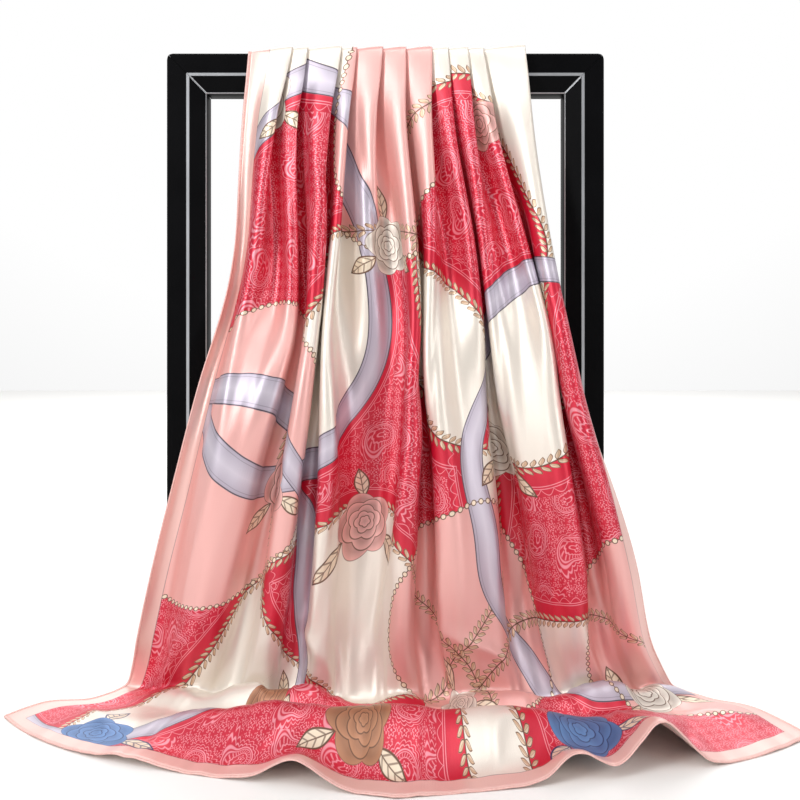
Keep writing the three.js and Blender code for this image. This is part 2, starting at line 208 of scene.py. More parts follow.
# Scarf panel
# One 90 cm square of printed silk satin, gathered by hand on the rail, let down in flutes and
# spread on the floor. It is a single shell on a grid across and along the cloth.

SIDE = 900.0
HALF = SIDE / 2
SHELL = 0.5
REST_GAP = 0.3
RAIL_CLEARANCE = REST_GAP + 0.5
SHARPEST_FOLD = 2.0
LONGEST_ROW = 0.985 * SIDE
FINE_POINTS, LINE_POINTS, HALVINGS = 721, 41, 24
COLUMNS = 320

# Widths in mm that each pleat shows on the rail, from left to right
pleats_shown = np.array([21, 18, 42, 20, 31, 29, 31, 18, 21, 19, 32], float)

# Ridges of the large lower flutes: place across (-1 to 1) and sharpness of the fold
flutes = np.array(
    [(-0.82, 0.95), (-0.57, 0.8), (-0.33, 1.0), (-0.02, 1.15), (0.28, 0.9), (0.66, 1.1), (0.92, 0.8)]
)

# Lifts of the front hem: place across, height in mm, spread across, reach back in mm
hem_lifts = ((-0.62, 6, 0.09, 60), (-0.22, 21, 0.075, 60), (0.4, 24, 0.065, 55), (0.59, 42, 0.08, 90))

# Heights in mm of the two rolls on the floor: place across, first roll, second roll
roll_heights = np.array(
    [
        (-1, 0, 0), (-0.8, 4, 1), (-0.62, 12, 13), (-0.36, 19, 31), (-0.12, 9, 36),
        (0.12, 4, 34), (0.3, 9, 28), (0.55, 15, 17), (0.8, 12, 6), (1, 0, 0),
    ],
    float,
)
FIRST_CREST, FIRST_REACH = 738, 30
SECOND_CREST, SECOND_REACH = 824, 58

# Cross sections from the back hem over the rail to the front hem, in mm and degrees. along:
# from the back hem. ahead, up: the line that the inner folds touch, ahead of the frame's face
# and above the floor. lie: which way the folds stand, up from straight ahead. left, right:
# reach. sweep: how far each end lies behind the middle. pleat, flute: strength of the folds.
# depth: share of their free depth. lean: how far they lie over.
SECTION_KEYS = (
    "along", "ahead", "up", "lie", "left", "right", "sweep_left", "sweep_right",
    "pleat", "flute", "depth", "lean",
)
sections = np.array(
    [
        (0, -30, 634, 180, 140, 144, 0, 0, 1, 0, 0.2, 1.1),
        (21, -30, 655, 180, 139, 143, 0, 0, 1, 0, 0.175, 1.15),
        (24, -30, 655, 90, 139, 143, 0, 0, 1, 0, 0.17, 1.15),
        (54, 0, 655, 90, 139, 143, 0, 0, 1, 0, 0.17, 1.15),
        (57, 0, 655, 0, 139, 143, 0, 0, 1, 0, 0.175, 1.15),
        (80, 0, 632, 0, 141, 145, 0, 0, 1, 0.05, 0.28, 1.0),
        (125, 0, 588, 0, 145, 148, 0, 0, 0.95, 0.15, 0.5, 0.7),
        (245, 0, 467, 0, 153, 163, 0, 0, 0.7, 0.5, 0.85, 0.2),
        (400, 0, 312, 0, 186, 193, 0, 0, 0.35, 0.9, 0.95, 0),
        (575, 6, 138, 0, 230, 244, 3, 3, 0.2, 1, 0.8, 0),
        (650, 18, 64, 5, 246, 260, 10, 8, 0.15, 1, 0.6, 0),
        (690, 33, 25, 25, 254, 276, 26, 20, 0.12, 1, 0.4, 0),
        (712, 50, 3, 65, 262, 290, 40, 32, 0.1, 1, 0.25, 0),
        (738, 76, -REST_GAP, 90, 276, 308, 52, 48, 0.1, 1, 0.2, 0),
        (766, 101, -REST_GAP, 90, 292, 326, 66, 62, 0.1, 1, 0.13, 0),
        (826, 160, -REST_GAP, 90, 330, 358, 118, 100, 0.1, 1, 0.14, 0),
        (868, 204, -REST_GAP, 90, 350, 376, 148, 112, 0.1, 1, 0.08, 0),
        (900, 240, -REST_GAP, 90, 362, 386, 168, 122, 0.1, 1, 0.04, 0),
    ],
    float,
)


def smooth_through(x, xs, ys):
    """A cubic through points that never swings past them: each slope is the harmonic mean of
    its two neighbours' slopes, or 0 where they change sign."""
    xs, ys = np.asarray(xs, float), np.asarray(ys, float)
    slopes = np.diff(ys) / np.diff(xs)
    before, after = slopes[:-1], slopes[1:]
    product = before * after
    total = np.where(product > 0, before + after, 1)
    tangents = np.concatenate([slopes[:1], np.where(product > 0, 2 * product / total, 0), slopes[-1:]])
    i = np.clip(np.searchsorted(xs, x, side="left") - 1, 0, len(xs) - 2)
    span = xs[i + 1] - xs[i]
    t = (x - xs[i]) / span
    rise, curl_in, curl_out = 3 * t**2 - 2 * t**3, t**3 - 2 * t**2 + t, t**3 - t**2
    return (
        ys[i] * (1 - rise) + ys[i + 1] * rise
        + span * (tangents[i] * curl_in + tangents[i + 1] * curl_out)
    )


def section_at(along):
    """Every column of the sections at the given places along, as columns of their own."""
    return {
        key: smooth_through(along, sections[:, 0], sections[:, k])[:, None]
        for k, key in enumerate(SECTION_KEYS)
    }


hidden_by_each = (SIDE - pleats_shown.sum()) / len(pleats_shown)
pleat_starts = np.concatenate([[0], np.cumsum(pleats_shown + hidden_by_each)]) - HALF
pleat_numbers = np.minimum(np.arange(len(pleat_starts)), len(pleats_shown) - 0.25)
pleat_middles = (pleat_starts[:-1] + pleat_starts[1:]) / 2
pleat_folds = 2.4 * (hidden_by_each / (pleats_shown + hidden_by_each)) ** 0.6


def row_line(s, t):
    """The line that a row follows over the ground at t from -1 to 1: straight where it hangs,
    and swept back at its ends on the floor."""
    sweep = np.where(t < 0, s["sweep_left"], s["sweep_right"])
    x = (s["right"] - s["left"]) / 2 + t * (s["right"] + s["left"]) / 2
    return x, s["ahead"] - sweep * (0.55 * np.abs(t) + 0.45 * np.abs(t) ** 5)


def folded_rows(s, strength, across):
    """Rows of folds: the cloth's angle swings to and fro, a sine for the pleats plus one for
    the flutes, and its running sums give the place across and the depth of each point. Two
    slow sines let the folds wander a little on their way down."""
    step = across[1] - across[0]
    middle = (across[:-1] + across[1:]) / 2
    wander = 0.04 * np.sin(s["along"] / 83 + middle / 90)
    wander = wander + 0.02 * np.sin(s["along"] / 41 - middle / 140)
    wander = wander * np.clip((s["along"] - 60) / 200, 0, 1)
    pleat_turns = smooth_through(middle, pleat_starts, pleat_numbers) + wander
    pleat = smooth_through(middle, pleat_middles, pleat_folds) * np.sin(2 * np.pi * pleat_turns)
    ridges = flutes[:, 0] * HALF
    flute_turns = smooth_through(middle, ridges, np.arange(len(flutes)) + 0.5) + wander
    flute = smooth_through(middle, ridges, flutes[:, 1]) * np.sin(2 * np.pi * flute_turns)
    swing = strength * (s["pleat"] * pleat + s["flute"] * flute)
    angle = SHARPEST_FOLD * np.tanh(swing / SHARPEST_FOLD)
    start = np.zeros((len(s["along"]), 1))
    place = np.hstack([start, np.cumsum(step * np.cos(angle), axis=1)])
    depth = np.hstack([start, np.cumsum(step * np.sin(angle), axis=1)])
    return place, depth


def bell(distance, reach):
    """A raised cosine: 1 in the middle, and 0 from reach on."""
    return np.where(np.abs(distance) < reach, 0.5 + 0.5 * np.cos(np.pi * distance / reach), 0)


def lift_at(along, t):
    """Height of the rolls and of the lifted hem over the floor: bells along the cloth times
    their heights across it."""
    first = smooth_through(t, roll_heights[:, 0], roll_heights[:, 1])
    second = smooth_through(t, roll_heights[:, 0], roll_heights[:, 2])
    lift = first * bell(along - FIRST_CREST, FIRST_REACH)
    lift = lift + second * bell(along - SECOND_CREST, SECOND_REACH)
    for across, height, spread, reach in hem_lifts:
        lift = lift + height * bell(SIDE - along, reach) * np.exp(-(((t - across) / spread) ** 2))
    return lift


def draped(along, across):
    """Points of the cloth's middle surface, in mm, at rows along by columns across. Halving
    finds the strength of each row's folds, so that the row is as long as its line."""
    s = section_at(along)
    fine = np.linspace(-HALF, HALF, FINE_POINTS)
    low, high = np.full_like(s["along"], 0.05), np.full_like(s["along"], 4.0)
    line_x, line_ahead = row_line(s, np.linspace(-1, 1, LINE_POINTS))
    steps = np.hypot(np.diff(line_x, axis=1), np.diff(line_ahead, axis=1))
    length = np.minimum(steps.sum(axis=1, keepdims=True), LONGEST_ROW)
    for _ in range(HALVINGS):
        middle = (low + high) / 2
        wide = folded_rows(s, middle, fine)[0][:, -1:] > length
        low, high = np.where(wide, middle, low), np.where(wide, high, middle)
    place, depth = folded_rows(s, (low + high) / 2, fine)
    leaning = place + s["lean"] * (depth - depth.mean(axis=1, keepdims=True))
    first, last = leaning.min(axis=1, keepdims=True), leaning.max(axis=1, keepdims=True)
    depth = depth - depth.min(axis=1, keepdims=True)
    shares = 2 * (leaning - first) / (last - first) - 1
    t = np.array([np.interp(across, fine, row) for row in shares])
    depth = np.array([np.interp(across, fine, row) for row in depth])
    x, ahead = row_line(s, t)
    out = RAIL_CLEARANCE + s["depth"] * depth
    lie = np.radians(s["lie"])
    y = 1000 * FRONT_FACE - ahead - out * np.cos(lie)
    z = s["up"] + out * np.sin(lie) + lift_at(s["along"], t)
    return np.stack([x, y, z], axis=-1)


# Creases that the flutes alone don't give, in mm of cloth: from (across, along)
# to (across, along), width, and height, which is below 0 for a trough
creases = (
    (-330, 110, -352, 430, 8, -3.6), (-262, 90, -236, 340, 7, 2.8), (-184, 130, -212, 530, 8, -3.8),
    (-98, 100, -58, 370, 7, -3.2), (-34, 190, -76, 650, 9, 3.4), (38, 100, 58, 310, 7, -3.2),
    (122, 150, 92, 500, 8, -3.6), (186, 85, 218, 340, 7, 2.8), (268, 180, 238, 570, 8, -3.6),
    (332, 110, 348, 430, 8, -3.2), (398, 220, 382, 610, 8, 3), (-404, 240, -388, 630, 8, 3),
    (-300, 450, -334, 705, 11, 3.6), (-128, 500, -168, 708, 10, -3.8), (44, 372, -86, 706, 13, 6),
    (150, 450, 178, 705, 11, 3.6), (300, 500, 328, 708, 10, -3.4), (-232, 590, -120, 702, 8, 2.6),
    (68, 620, 205, 706, 8, 2.6), (-362, 620, -436, 745, 10, 3.4), (-262, 778, -116, 792, 8, 2.4),
    (16, 772, 176, 790, 8, -2.2), (218, 852, 304, 792, 8, 2.6), (-64, 862, 44, 878, 7, 1.8),
    (-414, 796, -326, 862, 10, 3), (368, 786, 424, 862, 10, 3), (-286, 250, -300, 520, 6, -2.4),
    (-148, 380, -120, 600, 6, 2.4), (0, 560, 30, 705, 7, -2.6), (100, 560, 88, 700, 7, 2.6),
    (230, 420, 214, 640, 6, -2.4), (352, 560, 372, 700, 7, 2.4), (-60, 720, 120, 752, 7, 2.2),
    (-340, 716, -180, 748, 7, 2.2), (210, 716, 350, 742, 7, 2.2), (-180, 880, -90, 812, 7, 2.2),
    (90, 884, 130, 818, 7, 2), (-300, 870, -250, 810, 7, -2), (300, 880, 350, 830, 7, -2),
)

# Waves of the fine puckers that run down the cloth: width of a wave and drift across over the
# hang, both in mm, and height in mm
puckers = ((46, 30, 0.9), (33, -22, 0.7), (24, 16, 0.5), (17, -12, 0.32))
CREASE_BEND = 4


def crease_height(along, across):
    """Sum of the creases: each falls off as a bell across its line, which bends a little, and
    tapers to its ends. The puckers are sines across the cloth that come and go in patches."""
    height = np.zeros((len(along), len(across)))
    v, u = along[:, None], across[None, :]
    for u0, v0, u1, v1, width, rise in creases:
        length = math.hypot(u1 - u0, v1 - v0)
        run = ((u - u0) * (u1 - u0) + (v - v0) * (v1 - v0)) / length**2
        aside = ((u - u0) * (v1 - v0) - (v - v0) * (u1 - u0)) / length
        aside = aside + CREASE_BEND * np.sin(2.5 * np.pi * run)
        taper = np.where((run > 0) & (run < 1), np.sin(np.pi * np.clip(run, 0, 1)) ** 0.7, 0)
        height += rise * taper * np.exp(-((aside / width) ** 2))
    hanging = np.clip((v - 60) / 160, 0, 1) * (1 - 0.5 * np.clip((v - 700) / 60, 0, 1))
    for k, (wave, drift, rise) in enumerate(puckers):
        patches = np.sin(u / (2.3 * wave) + 1.7 * k) * np.sin(v / (3.1 * wave) + 2.1 * k)
        bend = drift * (v / SIDE) + 3.5 * np.sin(v / (60 + 25 * k) + k)
        height += rise * hanging * (0.5 + 0.5 * patches) * np.sin(2 * np.pi * (u + bend) / wave)
    return height


def grid_normals(points):
    """Unit normals of a grid of points, from its differences down and across."""
    down = np.gradient(points, axis=0)
    right = np.gradient(points, axis=1)
    normal = np.cross(down, right)
    return normal / np.linalg.norm(normal, axis=-1, keepdims=True)


def grid_mesh(name, points, across, along):
    """A sheet of quads through a grid of points in mm, its place on the flat cloth as its UV."""
    rows, columns = points.shape[:2]
    index = np.arange(rows * columns).reshape(rows, columns)
    quads = np.stack([index[:-1, :-1], index[1:, :-1], index[1:, 1:], index[:-1, 1:]], axis=-1)
    mesh = bpy.data.meshes.new(name)
    mesh.from_pydata((points.reshape(-1, 3) / 1000).tolist(), [], quads.reshape(-1, 4).tolist())
    cut_place = np.broadcast_arrays((across[None, :] + HALF) / SIDE, along[:, None] / SIDE)
    flat = np.stack(cut_place, axis=-1)
    layer = mesh.uv_layers.new(name="cut")
    corners = np.empty(len(mesh.loops), int)
    mesh.loops.foreach_get("vertex_index", corners)
    layer.data.foreach_set("uv", flat.reshape(-1, 2)[corners].ravel().astype(np.float32))
    mesh.shade_smooth()
    return mesh


# Rows are close where the cloth turns over the rail's edges, and wider apart below
row_spans = (
    (0, 19, 4), (19, 26, 8), (26, 52, 4), (52, 60, 9), (60, 130, 11), (130, 640, 58), (640, 900, 60),
)
along = np.unique(np.concatenate([np.linspace(a, b, n + 1) for a, b, n in row_spans]))
across = np.linspace(-HALF, HALF, COLUMNS)
cloth_points = draped(along, across)
cloth_normals = grid_normals(cloth_points)
cloth_points = cloth_points + cloth_normals * crease_height(along, across)[..., None]
cloth_points[..., 2] = np.maximum(cloth_points[..., 2], SHELL / 2)

scarf_mesh = grid_mesh("silk_square", cloth_points, across, along)
scarf = bpy.data.objects.new("silk_square", scarf_mesh)
bpy.context.collection.objects.link(scarf)
shell = scarf.modifiers.new("shell", "SOLIDIFY")
shell.thickness = SHELL / 1000
shell.offset = 0
shell.material_offset = 1
shell.material_offset_rim = 1

# The silk's print, worked out from the place on the flat cloth in mm. Interlaced circles turn
# the ground from ivory to red and back, and ribbons, leaf garlands and bead chains follow them.
RED, DEEP_RED, RED_LINE = ink("dc1339"), ink("c20c30"), ink("f7a9b6")
BLUSH, IVORY, BORDER_PINK = ink("edb3ad"), ink("eee5da"), ink("efc4bc")
LILAC, PALE_LILAC, RIBBON_EDGE = ink("b0a6b6"), ink("cfc7d3"), ink("463b48")
GOLD, PALE_GOLD, UMBER = ink("c08a5e"), ink("eedcc4"), ink("64412c")
BLUE, DEEP_BLUE, COPPER = ink("5a82b8"), ink("1b3565"), ink("b8805e")
BORDER_WIDTH = 19
RIBBON_WIDTH, RIBBON_LINE = 27, 3.5
GARLAND_LEAF, GARLAND_LEAF_WIDTH, GARLAND_PITCH = 7.6, 6.4, 8.2
BEAD_WIDTH, BEAD_PITCH = 5.6, 8.0
LINE_WIDTH, LINE_SOFTNESS = 0.8, 0.4
PAISLEY_SIZE, FLOWER_SIZE, DOT_PITCH = 54, 12, 3
EDGING_START, EDGING_DEPTH, EDGING_PITCH = 19, 10, 11
EDGING_LINE_GAP, SCALLOP_GAP, SCALLOP_HEIGHT = 2.4, 3, 5.5
DRIFT, DRIFT_SCALE = 60, 0.007
WEAVE_PITCH = 0.6
PETAL_RINGS = (1.0, 0.76, 0.54, 0.34, 0.18)
PETAL_SHADE = 0.2
LEAF_START, LEAF_END, LEAF_HALF_WIDTH, LEAVES = 0.8, 1.9, 0.24, 3

# Circles of the layout, in mm from the cloth's back left corner: across, along, radius, edge.
# Ribbons and garlands turn the ground from ivory to red and back, beads lay blush over it.
rounds = (
    (170, 290, 205, "ribbon"), (660, 270, 200, "garland"), (400, 480, 250, "garland"),
    (820, 520, 230, "ribbon"), (330, 800, 260, "garland"), (760, 860, 240, "garland"),
    (40, 640, 230, "ribbon"), (420, 110, 150, "beads"), (90, 470, 150, "beads"),
    (560, 640, 130, "beads"), (920, 690, 160, "beads"),
)

# Blooms: across, along, radius, petal colour, line colour
blooms = (
    (110, 850, 36, BLUE, DEEP_BLUE), (655, 838, 38, BLUE, DEEP_BLUE), (400, 846, 34, COPPER, UMBER),
    (235, 742, 28, COPPER, UMBER), (395, 245, 32, IVORY, UMBER), (655, 462, 36, IVORY, UMBER),
    (165, 500, 34, BLUSH, UMBER), (760, 130, 30, BLUSH, UMBER), (820, 752, 34, IVORY, UMBER),
    (345, 560, 36, BLUSH, UMBER), (80, 110, 30, IVORY, UMBER), (540, 735, 32, IVORY, UMBER),
)


def polar(offset):
    """Length of an offset, and its angle from the across direction."""
    right, down, _ = offset.parts()
    return offset.vector("LENGTH"), down.math("ARCTAN2", right)


def repeats(angle, count):
    """A sawtooth from -0.5 to 0.5, that many times round a full turn."""
    return (angle * (count / (2 * math.pi))).math("FRACT") - 0.5


def most(first, *others):
    """The greatest of some masks."""
    for other in others:
        first = first.math("MAXIMUM", other)
    return first


def cells_of(place, size, unevenness):
    """Offset from the middle of the uneven grid cell that a place is in, and two numbers from
    0 to 1 that chance gives that cell."""
    values = {"Vector": place, "Scale": 1 / size, "Randomness": unevenness}
    chance = place.node("ShaderNodeTexVoronoi", {"voronoi_dimensions": "2D"}, values, "Color")
    return place.vector("SUBTRACT", chance.also("Position")), chance.parts()[:2]


def paisley_lines(place, size):
    """Line work of one paisley in each cell of an uneven grid: its edge is at radius
    0.2 size (1 + 1.5 ((1 + cos angle) / 2)^6), a drop with a point, and the angle turns with
    the radius, which bends the point over. Inner and outer lines are shares of that edge."""
    offset, (start, side) = cells_of(place, size, 0.4)
    radius, angle = polar(offset)
    hand = side.over(0.5, 0.01) * 2 - 1
    angle = angle + start * (2 * math.pi) + radius * hand * (2.2 / size)
    point = angle.cos() * 0.5 + 0.5
    share = radius / (size * 0.2 * (1 + 1.5 * point.math("POWER", 6)))
    width = LINE_WIDTH / 2 / (size * 0.2)
    waves = abs((angle * 8).sin())
    rims = most(
        (share - 1).within(width * 1.3, width), (share - 0.86).within(width * 0.8, width),
        (share - 1.14 - 0.11 * waves).within(width, width),
        (share - 1.34 - 0.16 * waves).within(width * 0.8, width),
        (share - 0.5 - 0.06 * waves).within(width, width),
    )
    veins = (angle * 20).cos().over(0.5, 0.4) * (share - 0.7).within(0.1, 0.03)
    petals = (share - 0.24 - 0.08 * (angle * 5).cos()).within(width, width)
    return most(rims, veins * 0.8, petals, share.within(0.07, width)), share


def flower_lines(place, size):
    """Line work of one small flower in each cell of a square grid: petals at radius
    0.27 + 0.06 cos 6 angle of the cell's size, a dot in the middle, and a ring of dashes."""
    cell = place.vector("MULTIPLY", (1 / size, 1 / size, 0)).vector("FRACTION")
    share, angle = polar(cell.vector("SUBTRACT", (0.5, 0.5, 0)))
    width = LINE_WIDTH / 2 / size
    petals = (share - 0.27 - 0.06 * (angle * 6).cos()).within(width, width)
    dashes = (share - 0.46).within(width, width) * (angle * 9).cos().over(0.1, 0.4)
    return most(petals, share.within(0.07, width), dashes * 0.8)


def odd_inside(edges, kinds):
    """1 inside an odd number of the circles of those kinds, and 0 inside an even number."""
    odd = 0
    for off, _, _, kind in edges:
        if kind in kinds:
            within = (-off).over(0, 0.6)
            odd = within + odd - 2 * odd * within
    return odd


def ground_colours(wire, place, edges):
    """Ivory, red and blush fields. Inside each red one runs a scalloped edging, whose line is a
    cosine of the angle round the circle, and paisleys, small flowers and dots fill the rest."""
    half = LINE_WIDTH / 2
    trims = [(abs(off), angle, radius) for off, angle, radius, kind in edges if kind != "beads"]
    nearest = trims[0][0]
    for side, _, _ in trims[1:]:
        nearest = nearest.math("MINIMUM", side)
    edging = most(
        (nearest - EDGING_START).within(half, LINE_SOFTNESS),
        (nearest - EDGING_START - EDGING_LINE_GAP).within(half, LINE_SOFTNESS),
    )
    for side, angle, radius in trims:
        scallops = round(2 * math.pi * radius / EDGING_PITCH) / 2
        wave = SCALLOP_HEIGHT * abs((angle * scallops).cos())
        scallop = side - EDGING_START - SCALLOP_GAP - wave
        edging = most(edging, scallop.within(half, LINE_SOFTNESS))
    u, v, _ = place.parts()
    dots = ((u * (math.pi / DOT_PITCH)).sin() * (v * (math.pi / DOT_PITCH)).sin()).over(0.8, 0.2)
    paisleys, share = paisley_lines(place, PAISLEY_SIZE)
    filling = most(flower_lines(place, FLOWER_SIZE), dots * 0.6)
    field = most(paisleys, filling * share.over(1.62, 0.05))
    field = field * nearest.over(EDGING_START + EDGING_DEPTH, 0.5)
    mottle = wire.node("ShaderNodeTexNoise", {}, {"Vector": place, "Scale": 0.02, "Detail": 0.0})
    red = (most(field, edging) * 0.72).mix(mottle.mix(DEEP_RED, RED), RED_LINE)
    colour = odd_inside(edges, ("ribbon", "garland")).mix(IVORY, red)
    return odd_inside(edges, ("beads",)).mix(colour, BLUSH)


def trimmed(colour, edges):
    """The colour with each circle's edge drawn over it: a ribbon of two tones between dark
    lines, a garland of paired leaves, or a chain of beads."""
    for off, angle, radius, kind in edges:
        side = abs(off)
        if kind == "ribbon":
            half = RIBBON_WIDTH / 2
            inner_line = 0.45 * (side - half + RIBBON_LINE).within(0.25, LINE_SOFTNESS)
            lines = most((side - half + 0.5).within(0.5, LINE_SOFTNESS), inner_line)
            colour = (half - side).over(0, 0.5).mix(colour, (side / half).mix(PALE_LILAC, LILAC))
            colour = lines.mix(colour, RIBBON_EDGE)
        elif kind == "garland":
            count = round(2 * math.pi * radius / GARLAND_PITCH)
            leaf = repeats(angle + side * (0.85 / radius), count) * GARLAND_PITCH
            swell = (side * (math.pi / GARLAND_LEAF)).sin() * (GARLAND_LEAF_WIDTH / 2)
            inside = (swell - abs(leaf)).math("MINIMUM", GARLAND_LEAF - side)
            lines = most(
                (inside - 0.4).within(0.4, LINE_SOFTNESS), 0.6 * leaf.within(0.15, LINE_SOFTNESS)
            )
            leaves = lines.mix((leaf / GARLAND_PITCH + 0.5).mix(GOLD, PALE_GOLD), UMBER)
            colour = inside.over(0, 0.5).mix(colour, leaves)
            colour = off.within(0.55, LINE_SOFTNESS).mix(colour, UMBER)
        else:
            count = round(2 * math.pi * radius / BEAD_PITCH)
            step = repeats(angle, count) * (2 * math.pi * radius / count)
            inside = BEAD_WIDTH / 2 - (step * step + off * off).math("SQRT")
            colour = off.within(0.5, LINE_SOFTNESS).mix(colour, UMBER)
            colour = inside.over(0, 0.5).mix(colour, PALE_GOLD)
            colour = (inside - 0.3).within(0.45, LINE_SOFTNESS).mix(colour, UMBER)
    return colour


def flowered(colour, drawn):
    """The colour with the blooms over it. Each place takes the offset from the bloom that is
    near, in shares of its radius. Each ring of five petals ends where the distance is
    its reach (0.8 + 0.2 |sin 2.5 angle|), turned from ring to ring, and leaves are lenses."""
    offset, petal_tone, line_tone = (9, 9, 0), IVORY, GOLD
    for middle_u, middle_v, radius, petal_colour, line_colour in blooms:
        towards = drawn.vector("SUBTRACT", (middle_u, middle_v, 0))
        towards = towards.vector("MULTIPLY", (1 / radius, 1 / radius, 0))
        near = (2.1 - towards.vector("LENGTH")).over(0, 0.01)
        offset = near.mix_vector(offset, towards)
        petal_tone = near.mix(petal_tone, petal_colour)
        line_tone = near.mix(line_tone, line_colour)
    distance, angle = polar(offset)
    rims = [
        abs((angle * 2.5 + 1.1 * k).sin()) * (0.2 * reach) + 0.8 * reach - distance
        for k, reach in enumerate(PETAL_RINGS)
    ]
    petal_lines = most(*[rim.within(0.014, 0.018) for rim in rims])
    light = most(*[(1 - rim * (1 / PETAL_SHADE)) * rim.over(0, 0.01) for rim in rims])
    turned = repeats(angle + 0.6, LEAVES) * (2 * math.pi / LEAVES)
    out, aside = distance * turned.cos(), abs(distance * turned.sin())
    swell = ((out - LEAF_START) * (math.pi / (LEAF_END - LEAF_START))).sin() * LEAF_HALF_WIDTH
    inside = (swell - aside).math("MINIMUM", LEAF_END - out)
    veins = ((out - aside * 0.9) * 26).sin().over(0.75, 0.3)
    leaf_lines = most(inside.within(0.03, 0.02), aside.within(0.015, 0.02), 0.7 * veins)
    colour = inside.over(-0.02, 0.02).mix(colour, leaf_lines.mix(PALE_GOLD, line_tone))
    shaded = light.mix(line_tone.blended(0.4, petal_tone), petal_tone)
    return rims[0].over(0, 0.02).mix(colour, petal_lines.mix(shaded, line_tone))


def silk_print(wire):
    """The whole print's colour at a place, and the place in mm on the flat cloth. The layout
    is drawn on a place that slow noise shifts a little, so that its circles aren't exact."""
    cut = wire.node("ShaderNodeUVMap", {"uv_map": "cut"}, {})
    place = cut.vector("MULTIPLY", (SIDE, SIDE, 0))
    values = {"Vector": place, "Scale": DRIFT_SCALE, "Detail": 0.0}
    noise = wire.node("ShaderNodeTexNoise", {}, values, "Color")
    shift = noise.vector("SUBTRACT", (0.5, 0.5, 0.5))
    drawn = shift.vector("MULTIPLY_ADD", (DRIFT, DRIFT, 0), place)
    edges = []
    for middle_u, middle_v, radius, kind in rounds:
        distance, angle = polar(drawn.vector("SUBTRACT", (middle_u, middle_v, 0)))
        edges.append((distance - radius, angle, radius, kind))
    colour = trimmed(ground_colours(wire, place, edges), edges)
    colour = flowered(colour, drawn)
    u, v, _ = place.parts()
    from_side, from_hem = SIDE / 2 - abs(u - SIDE / 2), SIDE / 2 - abs(v - SIDE / 2)
    inside = from_side.math("MINIMUM", from_hem) - BORDER_WIDTH
    colour = (-inside).over(0, 0.5).mix(colour, BORDER_PINK)
    return (0.5 * inside.within(0.4, LINE_SOFTNESS)).mix(colour, RIBBON_EDGE), place


def silk_threads(wire, place, shader, roughness):
    """Satin's threads: long slubs along the cloth change the gloss a little, and two crossed
    sines are the weave."""
    values = {"Vector": place.vector("MULTIPLY", (0.9, 0.02, 0)), "Scale": 1.0, "Detail": 1.0}
    slubs = wire.node("ShaderNodeTexNoise", {}, values)
    plug(roughness - 0.05 + 0.1 * slubs, shader, "Roughness")
    u, v, _ = place.parts()
    weave = (u * (2 * math.pi / WEAVE_PITCH)).sin() * (v * (2 * math.pi / WEAVE_PITCH)).sin()
    bump(slubs + 0.15 * weave, 0.00025, 0.35, shader)


silk, silk_shader, wire = new_material("printed_silk", metallic=0.38, specular_ior_level=0.9)
colour, place = silk_print(wire)
plug(colour, silk_shader, "Base Color")
silk_threads(wire, place, silk_shader, 0.36)

# The wrong side is matter, and the print shows through it faintly
BLEED = 0.4
silk_back, back_shader, wire = new_material("silk_wrong_side", metallic=0.15)
colour, place = silk_print(wire)
plug(colour.blended(BLEED, IVORY), back_shader, "Base Color")
silk_threads(wire, place, back_shader, 0.5)

scarf.data.materials.append(silk)
scarf.data.materials.append(silk_back)
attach(scarf, "root")
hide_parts("scarf_panel")

# Rolled hems
# The panel's edge turned over by hand into a thin round roll, one along each side, and caught
# down with small slanting stitches. It is the silk of the border.

HEM_WIDTH, HEM_HEIGHT, HEM_OUTSET, HEM_SIDES = 2.8, 1.7, 0.6, 8


def rolled_hem(name, edge, outward, up):
    """A roll along an edge of the cloth: an oval carried along the edge's points, wide in the
    cloth's own plane, with its middle just outside the edge. Its UV is the length along it in
    mm, and the share of a turn round it."""
    angles = np.linspace(0, 2 * np.pi, HEM_SIDES, endpoint=False)
    oval = np.stack([np.cos(angles) * HEM_WIDTH / 2, np.sin(angles) * HEM_HEIGHT / 2], axis=-1)
    rings = edge[:, None] + (oval[None, :, :1] + HEM_OUTSET) * outward[:, None]
    rings = rings + oval[None, :, 1:] * up[:, None]
    rings[..., 2] = np.maximum(rings[..., 2], 0)
    count, sides = rings.shape[:2]
    index = np.arange(count * sides).reshape(count, sides)
    after = np.roll(index, -1, axis=1)
    quads = np.stack([index[:-1], after[:-1], after[1:], index[1:]], axis=-1).reshape(-1, 4)
    caps = [index[0][::-1].tolist(), index[-1].tolist()]
    mesh = bpy.data.meshes.new(name)
    mesh.from_pydata((rings.reshape(-1, 3) / 1000).tolist(), [], quads.tolist() + caps)
    steps = np.linalg.norm(np.diff(edge, axis=0), axis=1)
    lengths = np.concatenate([[0], np.cumsum(steps)])
    layer = mesh.uv_layers.new(name="roll")
    corners = np.empty(len(mesh.loops), int)
    mesh.loops.foreach_get("vertex_index", corners)
    flat = np.stack([lengths[corners // sides], corners % sides / sides], axis=-1)
    layer.data.foreach_set("uv", flat.ravel().astype(np.float32))
    mesh.shade_smooth()
    hem = bpy.data.objects.new(name, mesh)
    bpy.context.collection.objects.link(hem)
    return hem


